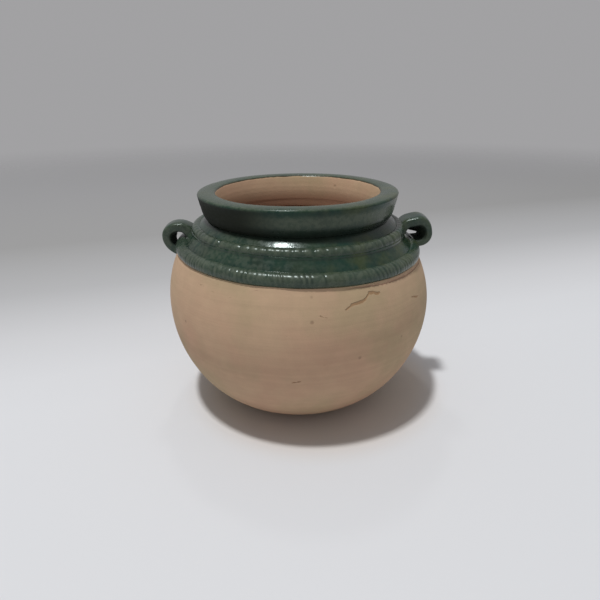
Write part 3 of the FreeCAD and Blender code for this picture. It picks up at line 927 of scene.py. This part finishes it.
class POT_OT_collar(bpy.types.Operator):
    """Turn the glazed shoulder, bare inside"""

    bl_idname = "pot.collar"
    bl_label = "Collar"

    def execute(self, context):
        build_materials()
        sizes = context.scene.pot_sizes
        neck, seam = shoulder_ends(sizes)
        throat = sizes.neck_radius - sizes.neck_wall
        cordon_foot = context.scene.pot_cordons.upper_foot
        band_end = on_shoulder(sizes, cordon_foot + SKIRT_END)
        skirt_foot, skirt_top = (
            (np.interp(height, (seam[1], band_end[1]), (seam[0], band_end[0])) + rise, height)
            for height, rise in ((cordon_foot + SKIRT_FOOT, 0.0), (cordon_foot + SKIRT_TOP, SKIRT_RISE)))
        steps = [
            (seam_inside(sizes), None),
            (seam, None),
            (skirt_foot, (SKIRT_ROUND, -1)),
            (skirt_top, None),
            (band_end, (sizes.shoulder_round, 1)),
            (neck, None),
            ((throat, sizes.neck_height), None),
            ((throat, sizes.neck_height - sizes.shoulder_wall),
             (sizes.shoulder_round - sizes.shoulder_wall, -1)),
        ]

        def marks(outline, normals):
            outside = normals[:, 0] > 0
            facing_up = normals[:, 1] > 0.5
            glazed = (outside | facing_up) & (outline[:, 0] > throat + THROAT_EDGE)
            return {
                "glaze_gap": np.where(glazed, FAR_FROM_EDGE, -FAR_FROM_EDGE),
                "pooled": (1 - past_band(outline[:, 0], sizes.neck_radius, NECK_BAND)) * outside,
                "worn": np.zeros(len(outline)),
                # The bare inside is painted redder and darker, partly as painted shade
                "inside": np.where(outside, 0.0, 1.0),
            }

        piece = turned_object("shoulder_glazed", steps, SHOULDER_RINGS, marks, GLAZED_STEP)
        settle(piece, "collar", MATERIALS["glaze"])
        return {"FINISHED"}


# The rim's face and throat are slack arcs
FACE_ROUND = 120 * MM
THROAT_ROUND = 58 * MM

# Bands of the rim's marks: the first three are heights from the lip, the last two from the neck
LIP_BAND = (-2.0 * MM, -0.5 * MM)
FACE_TOP_BAND = (-3 * MM, -1 * MM)
FACE_FOOT_BAND = (-8 * MM, -3.5 * MM)
THROAT_BAND = (-2 * MM, 11 * MM)
UNDERSIDE_START = 3 * MM
LIP_WEAR = 0.5
MOUTH_GLAZE = 0.3 * MM


class POT_OT_rim(bpy.types.Operator):
    """Turn the heavy glazed rim with its bare throat"""

    bl_idname = "pot.rim"
    bl_label = "Rim"

    def execute(self, context):
        build_materials()
        sizes = context.scene.pot_sizes
        top = sizes.pot_height
        throat = sizes.neck_radius - sizes.neck_wall
        mouth = throat + sizes.mouth_flare
        lip_inner = (mouth + sizes.mouth_round, top - sizes.lip_crown)
        lip_outer = (sizes.rim_radius - sizes.lip_round, top - sizes.lip_crown)
        face_foot = (sizes.rim_radius - sizes.rim_taper, top - sizes.rim_face)
        steps = [
            ((throat, sizes.neck_height), None),
            ((sizes.neck_radius, sizes.neck_height), (sizes.underside_round, 1)),
            (face_foot, (FACE_ROUND, 1)),
            ((sizes.rim_radius, top - sizes.lip_round), (sizes.lip_round, 1)),
            (lip_outer, (rise_round(lip_outer, lip_inner, sizes.lip_crown), 1)),
            (lip_inner, (sizes.mouth_round, 1)),
            ((mouth, top - sizes.mouth_round), (THROAT_ROUND, 1)),
        ]

        def marks(outline, normals):
            radius, height = outline.T
            outside = normals[:, 0] > 0
            bare = (normals[:, 0] < 0.2) & (radius < mouth + sizes.mouth_round * 2)
            gap = np.where(bare, radius - mouth - MOUTH_GLAZE, FAR_FROM_EDGE)
            gap = np.where(bare & (normals[:, 0] < -0.9), height - top, gap)
            # Painted shade: the rim's underside is darkened, as it lies in shade
            under = 1 - smooth_step(height, sizes.neck_height + UNDERSIDE_START, face_foot[1])
            face = (1 - past_band(height, top, FACE_TOP_BAND)) * outside
            # Painted reflection: a lighter band on the lower part of the rim's face, above its underside
            face_sheen = face * (1 - under) * (1 - past_band(height, top, FACE_FOOT_BAND))
            return {
                "glaze_gap": gap,
                "pooled": under * outside,
                "worn": past_band(height, top, LIP_BAND) * LIP_WEAR + face_sheen,
                # The rim's face, which grows darker towards the pot's left
                "burnt": face,
                # Painted shade: the throat's clay grows redder and darker towards the neck
                "inside": 1 - past_band(height, sizes.neck_height, THROAT_BAND),
            }

        piece = turned_object("rim_glazed", steps, RIM_RINGS, marks, GLAZED_STEP)
        settle(piece, "rim", MATERIALS["rim_glaze"])
        return {"FINISHED"}


# How worn the crests are, how much less of that the notches have, and how far glaze pools in them
CREST_WEAR = 0.8
NOTCH_SHELTER = 0.6
NOTCH_POOLS = 0.35


def notch_tree():
    """Notches pressed round a ring: each has its own depth and place, and all follow one slant."""
    tree = bpy.data.node_groups.new("Notched Ring", "GeometryNodeTree")
    tree.interface.new_socket(name="Geometry", in_out="INPUT", socket_type="NodeSocketGeometry")
    names = add_inputs(tree, {
        "Count": 78.0, "Depth": 0.001, "Slant": 0.2, "Width": 0.6,
        "Least": 0.3, "Wander": 1.5, "Seed": 1})
    dress = tree.interface.new_socket(name="Material", in_out="INPUT", socket_type="NodeSocketMaterial")
    names["Material"] = dress.identifier
    tree.interface.new_socket(name="Geometry", in_out="OUTPUT", socket_type="NodeSocketGeometry")
    given = tree.nodes.new("NodeGroupInput").outputs
    result = tree.nodes.new("NodeGroupOutput").inputs
    place = separate(tree, tree.nodes.new("GeometryNodeInputPosition").outputs[0])
    angle = calculate(tree, "ARCTAN2", place["Y"], place["X"])
    turns = calculate(tree, "ADD", calculate(tree, "DIVIDE", angle, FULL_TURN), 1.0)
    across, crest = (
        add_node(tree, "GeometryNodeInputNamedAttribute", data_type="FLOAT", Name=key).outputs[0]
        for key in ("across", "crest"))
    phase = times(tree, turns, given["Count"])
    phase = calculate(tree, "ADD", phase, times(tree, across, given["Slant"]))
    wander = add_node(tree, "ShaderNodeTexNoise", Scale=28.0, Detail=2.0).outputs[0]
    phase = calculate(tree, "ADD", phase, times(tree, wander, given["Wander"]))
    index = calculate(tree, "MODULO", calculate(tree, "FLOOR", phase), given["Count"])
    whole_index = add_node(tree, "FunctionNodeFloatToInt", rounding_mode="ROUND", Float=index)
    drawn = add_node(tree, "FunctionNodeRandomValue", data_type="FLOAT",
                     ID=whole_index.outputs[0], Seed=given["Seed"])
    feed(tree, drawn.inputs[2:4], (given["Least"], 1.0))
    in_notch = calculate(tree, "FRACT", phase)
    off_centre = calculate(tree, "ABSOLUTE", calculate(tree, "SUBTRACT", in_notch, 0.5))
    dip = stretch(tree, off_centre, times(tree, given["Width"], 0.5), 0.0)
    dip = times(tree, times(tree, dip, crest), drawn.outputs[1])
    inward = times(tree, times(tree, dip, given["Depth"]), -1.0)
    normal = tree.nodes.new("GeometryNodeInputNormal").outputs[0]
    worn = times(tree, calculate(tree, "MULTIPLY_ADD", dip, -NOTCH_SHELTER, CREST_WEAR), crest)
    last = add_node(tree, "GeometryNodeSetPosition", Geometry=given["Geometry"],
                    Offset=scaled_vector(tree, normal, inward))
    for key, value in (("worn", worn), ("dip", dip)):
        last = add_node(tree, "GeometryNodeStoreNamedAttribute", data_type="FLOAT", domain="POINT",
                        Geometry=last.outputs[0], Name=key, Value=value)
    last = add_node(tree, "GeometryNodeRealizeInstances", Geometry=last.outputs[0])
    last = add_node(tree, "GeometryNodeSetMaterial", Geometry=last.outputs[0],
                    Material=given["Material"])
    tree.links.new(last.outputs[0], result[0])
    return tree, names


# Cordons: faces for each notch, how deep their backs lie, and the swelling of their width
NOTCH_FACES = {"upper": 14, "lower": 8}
CORDON_SEEDS = {"upper": 21, "lower": 22}
CORDON_SINK = 1.4 * MM
SWELLING = 0.0022
SWELLING_SIZE = 26 * MM

# Notches are fullest on the crest and grow shallow where the pot's side runs up to a handle
CREST_FULLNESS = 0.8
BY_HANDLES = (0.78, 0.97)
CALM_BY_HANDLES = 0.7
GLAZE_PAST_FOOT = 0.6 * MM


def sunk(point, centre, depth):
    """A point moved towards a centre."""
    away = np.array(point) - centre
    return tuple(np.array(point) - away / np.hypot(*away) * depth)


def cordon_object(side, foot, top):
    """A smooth ring whose notches are pressed by Geometry Nodes, then given the hand-made shape."""
    name = f"{side}_cordon_notched"
    bands = bpy.context.scene.pot_cordons
    rise, count, depth, slant, width, least, wander = (
        getattr(bands, f"{side}_{key}")
        for key in ("rise", "notches", "depth", "slant", "width", "least", "wander"))
    bend = (rise_round(foot, top, rise), 1)
    centre = shoulder_centre(bpy.context.scene.pot_sizes)
    outline = trace([
        (foot, bend), (top, None),
        (sunk(top, centre, CORDON_SINK), None), (sunk(foot, centre, CORDON_SINK), None),
    ], FINE_STEP)
    share = np.arange(len(outline)) / len(walk(foot, top, bend, FINE_STEP))
    on_crest = share <= 1
    crest = np.where(on_crest, np.sin(np.clip(share, 0, 1) * math.pi) ** CREST_FULLNESS, 0.0)
    foot_gap = np.where(on_crest, share * math.dist(foot, top), FAR_FROM_EDGE)
    segments = count * NOTCH_FACES[side]
    radius, height, angle = spun(outline, segments)
    points = np.c_[radius * np.cos(angle), radius * np.sin(angle), height]
    by_handles = smooth_step(np.abs(np.cos(angle)), *BY_HANDLES)
    ring = mesh_object(f"{name}_smooth", points, ring_faces(segments, len(outline)), {
        "across": np.tile(np.where(on_crest, share, 0.0), segments),
        "crest": np.tile(crest, segments) * (1 - CALM_BY_HANDLES * by_handles),
        "glaze_gap": np.tile(foot_gap + GLAZE_PAST_FOOT, segments),
        "inside": np.zeros(len(points)),
        "pooled": np.zeros(len(points)),
    })
    tree, names = notch_tree()
    modifier = ring.modifiers.new("Notches", "NODES")
    modifier.node_group = tree
    seed = CORDON_SEEDS[side]
    given = {"Count": float(count), "Depth": depth, "Slant": slant, "Width": width, "Least": least,
             "Wander": wander, "Seed": seed, "Material": MATERIALS["glaze"]}
    for key, value in given.items():
        modifier[names[key]] = value
    seen = ring.evaluated_get(bpy.context.evaluated_depsgraph_get())
    mesh = bpy.data.meshes.new_from_object(seen)
    ring.modifiers.clear()
    mesh.name = name
    places = vertex_places(mesh)
    places[:, :2] *= 1 + SWELLING * soft_noise(places, SWELLING_SIZE, seed)[:, None]
    mesh.vertices.foreach_set("co", hand_shape(places).ravel())
    dip = np.empty(len(mesh.vertices), np.float32)
    mesh.attributes["dip"].data.foreach_get("value", dip)
    mesh.attributes["pooled"].data.foreach_set("value", dip * NOTCH_POOLS)
    mesh.update()
    piece = add_object(name, mesh)
    bpy.data.objects.remove(ring)
    settle(piece, f"{side}_cordon", MATERIALS["glaze"])


class POT_OT_cordons(bpy.types.Operator):
    """Lay the two notched cordons round the shoulder"""

    bl_idname = "pot.cordons"
    bl_label = "Cordons"

    def execute(self, context):
        build_materials()
        sizes = context.scene.pot_sizes
        bands = context.scene.pot_cordons
        upper_foot = on_shoulder(sizes, bands.upper_foot)
        lower_foot = (belly_radius_at(sizes, bands.lower_foot), bands.lower_foot)
        cordon_object("upper", upper_foot, on_shoulder(sizes, bands.upper_top))
        cordon_object("lower", lower_foot, on_shoulder(sizes, bands.lower_top))
        return {"FINISHED"}


# Straps: the directions of a loop's ends from its middle in degrees, their flare and their lumps
STRAP_ENDS = {"left": (-108, 168), "right": (-135, 172)}
STRAP_SEEDS = {"left": 31, "right": 32}
STRAP_SQUARENESS = 0.45
FLARE_START = 0.6
FLARE_WIDTH = 0.22
FLARE_THICKNESS = 0.35
LUMP_HEIGHT = 0.25 * MM
LUMP_SIZE = 14 * MM

# Marks of the straps: the worn edges, the dull inner face by thickness, which is also painted dark as
# shade, and the pooled ends
WORN_EDGE = (0.72, 1.0)
EDGE_WEAR = 0.45
INNER_FACE = (0.2, 0.4)
JOINT_POOLS = 0.5


def strap_section(width, thickness):
    """Points round a strap's section: across its width and through its thickness."""
    angles = np.arange(STRAP_SIDES) * FULL_TURN / STRAP_SIDES
    across, through = (
        np.sign(wave) * np.abs(wave) ** STRAP_SQUARENESS for wave in (np.cos(angles), np.sin(angles)))
    return across * width / 2, through * thickness / 2


def strap_path(length, rise, thickness, hole_round, ends):
    """The middle line of a loop between two directions from its middle, with outward normals."""
    far = (length + thickness) / 2
    top = (rise + thickness) / 2
    corner = rise / 2 * hole_round + thickness / 2
    bend = (corner, 1)
    outline = trace([
        ((far, corner - top), None), ((far, top - corner), bend),
        ((far - corner, top), None), ((corner - far, top), bend),
        ((-far, top - corner), None), ((-far, corner - top), bend),
        ((corner - far, -top), None), ((far - corner, -top), bend),
    ], FINE_STEP)
    directions = np.arctan2(outline[:, 1], outline[:, 0])
    order = np.argsort(directions)
    wanted = np.linspace(math.radians(ends[0]), math.radians(ends[1]), STRAP_RINGS)
    columns = np.c_[outline, outline_normals(outline)].T
    path_x, path_z, lead_x, lead_z = (
        np.interp(wanted, directions[order], values[order], period=FULL_TURN) for values in columns)
    leads = np.c_[lead_x, lead_z]
    return np.c_[path_x, path_z], leads / np.hypot(lead_x, lead_z)[:, None]


def turned_about(points, angle, first, second):
    """Points turned in the plane of two axes."""
    turned = points.copy()
    turned[:, first] = points[:, first] * math.cos(angle) - points[:, second] * math.sin(angle)
    turned[:, second] = points[:, first] * math.sin(angle) + points[:, second] * math.cos(angle)
    return turned


def strap_handle(side):
    """A strap bent into a loop whose flared ends run into the shoulder."""
    handles = bpy.context.scene.pot_handles
    turn, twist, tilt, reach, height, length, rise, hole_round, thickness, width, slant, step, crown = (
        getattr(handles, f"{side}_{key}") for key in (
            "turn", "twist", "tilt", "reach", "height", "length", "rise", "round", "thickness", "width",
            "slant", "step", "crown"))
    path, leads = strap_path(length, rise, thickness, hole_round, STRAP_ENDS[side])
    flare = smooth_step(np.abs(np.linspace(-1, 1, STRAP_RINGS)), FLARE_START, 1.0)
    backwards = -1 if side == "left" else 1
    points = []
    for place, lead, spread in zip(path, leads, flare):
        across, through = strap_section(width * (1 + FLARE_WIDTH * spread), thickness)
        inner = through < 0
        through *= 1 + FLARE_THICKNESS * spread * ~inner
        far_side = max(lead[0], 0.0) * slant + max(-lead[1], 0.0) * step
        through -= inner * far_side * (width / 2 + backwards * across)
        through -= inner * crown * max(lead[1], 0.0)
        points.append(np.c_[place[0] + lead[0] * through, across, place[1] + lead[1] * through])
    points = np.vstack(points)
    grid = np.arange(STRAP_RINGS * STRAP_SIDES).reshape(STRAP_RINGS, STRAP_SIDES)
    following = np.roll(grid, -1, axis=1)
    faces = np.stack([grid[:-1], grid[1:], following[1:], following[:-1]], axis=-1).reshape(-1, 4)
    ends = [
        [ring[index], ring[index + 1], ring[-index - 2], ring[-index - 1]]
        for ring in (grid[0], grid[-1][::-1]) for index in range(STRAP_SIDES // 2 - 1)]
    faces = np.vstack([faces, np.array(ends)])
    lumps = LUMP_HEIGHT * soft_noise(points, LUMP_SIZE, STRAP_SEEDS[side])[:, None]
    points = points + points / np.linalg.norm(points, axis=1)[:, None] * lumps
    points = turned_about(points, tilt, 0, 2)
    points = turned_about(points, twist, 0, 1)
    points += np.array([reach, 0.0, height])
    points = turned_about(points, turn + (math.pi if side == "left" else 0.0), 0, 1)
    across, through = strap_section(width, thickness)
    edge = np.tile(np.abs(across) / width * 2, STRAP_RINGS)
    inner_start, inner_end = (share * thickness for share in INNER_FACE)
    hidden = np.tile(smooth_step(-through, inner_start, inner_end), STRAP_RINGS)
    joint = np.repeat(flare, STRAP_SIDES)
    piece = mesh_object(f"{side}_strap", hand_shape(points), faces, {
        "worn": smooth_step(edge, *WORN_EDGE) * EDGE_WEAR * (1 - hidden),
        # Painted shade on the loop's inner face, and pooled glaze at its ends
        "pooled": np.maximum(joint * JOINT_POOLS, hidden),
        "dull": hidden,
        "glaze_gap": np.full(len(points), FAR_FROM_EDGE),
        "inside": np.zeros(len(points)),
    })
    settle(piece, f"{side}_handle", MATERIALS["glaze"])


class POT_OT_handles(bpy.types.Operator):
    """Bend the two strap handles and set them on the shoulder"""

    bl_idname = "pot.handles"
    bl_label = "Handles"

    def execute(self, context):
        build_materials()
        for side in ("left", "right"):
            strap_handle(side)
        return {"FINISHED"}


# Stage: the camera's place is worked out from the pot's height
CAMERA_DISTANCE = 418.7 * MM
CAMERA_ABOVE_LIP = 75.8 * MM
CAMERA_PITCH = math.radians(22.69)
CAMERA_YAW = math.radians(0.14)
CAMERA_ROLL = math.radians(-0.5)
CAMERA_LENS = 30.6
CAMERA_SENSOR = 36.0

# Square lamps that face the pot's middle: place, size and power
LAMPS = {
    "ceiling_lamp": ((-0.86, -0.72, 5.0), 0.38, 182.0),
    "back_lamp": ((-0.10, 0.75, 1.6), 0.12, 1.5),
}

# The floor is pale paper with painted shade that darkens it towards the back and the left, as the light
# falls off, and it fades into the room's tone
FLOOR_SIZE = 8.0
FLOOR_SKEW = 0.33
FLOOR_FADE = (1.2, 2.4)
FLOOR_REACH = 1.25
FLOOR_SHADE_TONES = [
    (0.02, (0.646, 0.658, 0.678)),
    (0.07, (0.633, 0.643, 0.662)),
    (0.15, (0.570, 0.575, 0.589)),
    (0.28, (0.420, 0.423, 0.430)),
    (0.49, (0.312, 0.311, 0.310)),
    (0.90, (0.312, 0.311, 0.316)),
]
# Painted shadow: a warm, darker tint of the floor round the pot, as if from light bounced off the clay
PAINTED_WARM_SHADOW = (0.56, 0.48, 0.40)
WARM_SHADOW_PLACE = (0.015, 0.0, 0.0)
WARM_SHADOW_FADE = (0.085, 0.125)
WARM_SHADOW_SHARE = 0.6
ROOM_COLOUR = (0.36, 0.357, 0.365)


def floor_material():
    """Matt pale paper with painted shade that darkens it by its place on the floor, and a painted warm
    shadow round the pot.
    """
    material, tree, shader, place = new_material("pale_floor")
    spot = separate(tree, place)
    back = calculate(tree, "MULTIPLY_ADD", spot["X"], -FLOOR_SKEW, spot["Y"])
    share = calculate(tree, "DIVIDE", back, FLOOR_REACH, clamp=True)
    ramp = add_node(tree, "ShaderNodeValToRGB", Fac=share)
    tones = ramp.color_ramp.elements
    while len(tones) < len(FLOOR_SHADE_TONES):
        tones.new(1.0)
    for tone, (position, colour) in zip(tones, FLOOR_SHADE_TONES):
        tone.position = position
        tone.color = (*colour, 1.0)
    # Painted shadow round the pot's foot
    near = vector_step(tree, "LENGTH", vector_step(tree, "SUBTRACT", place, WARM_SHADOW_PLACE))
    warm_shadow = stretch(tree, near, WARM_SHADOW_FADE[1], WARM_SHADOW_FADE[0], 0.0, WARM_SHADOW_SHARE)
    colour = mix_colour(tree, warm_shadow, ramp.outputs[0], PAINTED_WARM_SHADOW)
    seen = stretch(tree, vector_step(tree, "LENGTH", place), FLOOR_FADE[1], FLOOR_FADE[0])
    fill(tree, shader, Base_Color=colour, Alpha=seen, Roughness=0.9, Specular_IOR_Level=0.2)
    return material


class POT_OT_stage(bpy.types.Operator):
    """Set the floor, the lamps, the world and the camera"""

    bl_idname = "pot.stage"
    bl_label = "Stage"

    def execute(self, context):
        scene = context.scene
        sizes = scene.pot_sizes
        scene.view_settings.view_transform = "Standard"
        half = FLOOR_SIZE / 2
        mesh = bpy.data.meshes.new("floor")
        corners = [(-half, -half, 0.0), (half, -half, 0.0), (half, half, 0.0), (-half, half, 0.0)]
        mesh.from_pydata(corners, [], [(0, 1, 2, 3)])
        floor = add_object("floor", mesh)
        mesh.materials.append(floor_material())
        world = bpy.data.worlds.new("soft_room")
        world.use_nodes = True
        scene.world = world
        background = world.node_tree.nodes["Background"]
        background.inputs["Color"].default_value = (*ROOM_COLOUR, 1.0)
        background.inputs["Strength"].default_value = 1.0
        middle = Vector((0.0, 0.0, sizes.pot_height / 2))
        for name, (place, size, power) in LAMPS.items():
            lamp = bpy.data.lights.new(name, "AREA")
            lamp.size = size
            lamp.energy = power
            made = add_object(name, lamp)
            made.location = place
            made.rotation_euler = (middle - Vector(place)).to_track_quat("-Z", "Y").to_euler()
        camera = bpy.data.cameras.new("camera")
        camera.lens = CAMERA_LENS
        camera.sensor_width = CAMERA_SENSOR
        camera.clip_start = 0.01
        made = add_object("camera", camera)
        made.location = (0.0, -CAMERA_DISTANCE, sizes.pot_height + CAMERA_ABOVE_LIP)
        look = Euler((math.pi / 2 - CAMERA_PITCH, 0.0, -CAMERA_YAW)).to_matrix()
        roll = Matrix.Rotation(CAMERA_ROLL, 3, "Z")
        made.rotation_euler = (look @ roll).to_euler()
        scene.camera = made
        return {"FINISHED"}


class POT_PT_panel(bpy.types.Panel):
    """The pot's sizes, colours and build steps"""

    bl_idname = "POT_PT_panel"
    bl_label = "Flower Pot"
    bl_space_type = "VIEW_3D"
    bl_region_type = "UI"
    bl_category = "Flower Pot"

    def draw(self, context):
        for operator in OPERATORS:
            self.layout.operator(operator.bl_idname)
        for key, kind in PROPERTY_GROUPS.items():
            column = self.layout.column(heading=key)
            for name in kind.__annotations__:
                column.prop(getattr(context.scene, key), name)


PROPERTY_GROUPS = {
    "pot_sizes": FlowerPotSizes,
    "pot_cordons": FlowerPotCordons,
    "pot_handles": FlowerPotHandles,
    "pot_colours": FlowerPotColours,
}
OPERATORS = [POT_OT_belly, POT_OT_collar, POT_OT_rim, POT_OT_cordons, POT_OT_handles, POT_OT_stage]
CLASSES = [*PROPERTY_GROUPS.values(), *OPERATORS, POT_PT_panel]


def register():
    """Register the classes and hang the settings on the scene."""
    for kind in CLASSES:
        bpy.utils.register_class(kind)
    for key, group in PROPERTY_GROUPS.items():
        setattr(bpy.types.Scene, key, bpy.props.PointerProperty(type=group))


def unregister():
    """Take the settings and classes away again."""
    for key in PROPERTY_GROUPS:
        delattr(bpy.types.Scene, key)
    for kind in reversed(CLASSES):
        bpy.utils.unregister_class(kind)


def main():
    register()
    bpy.ops.pot.belly()
    bpy.ops.pot.collar()
    bpy.ops.pot.rim()
    bpy.ops.pot.cordons()
    bpy.ops.pot.handles()
    bpy.ops.pot.stage()


if __name__ == "__main__":
    main()
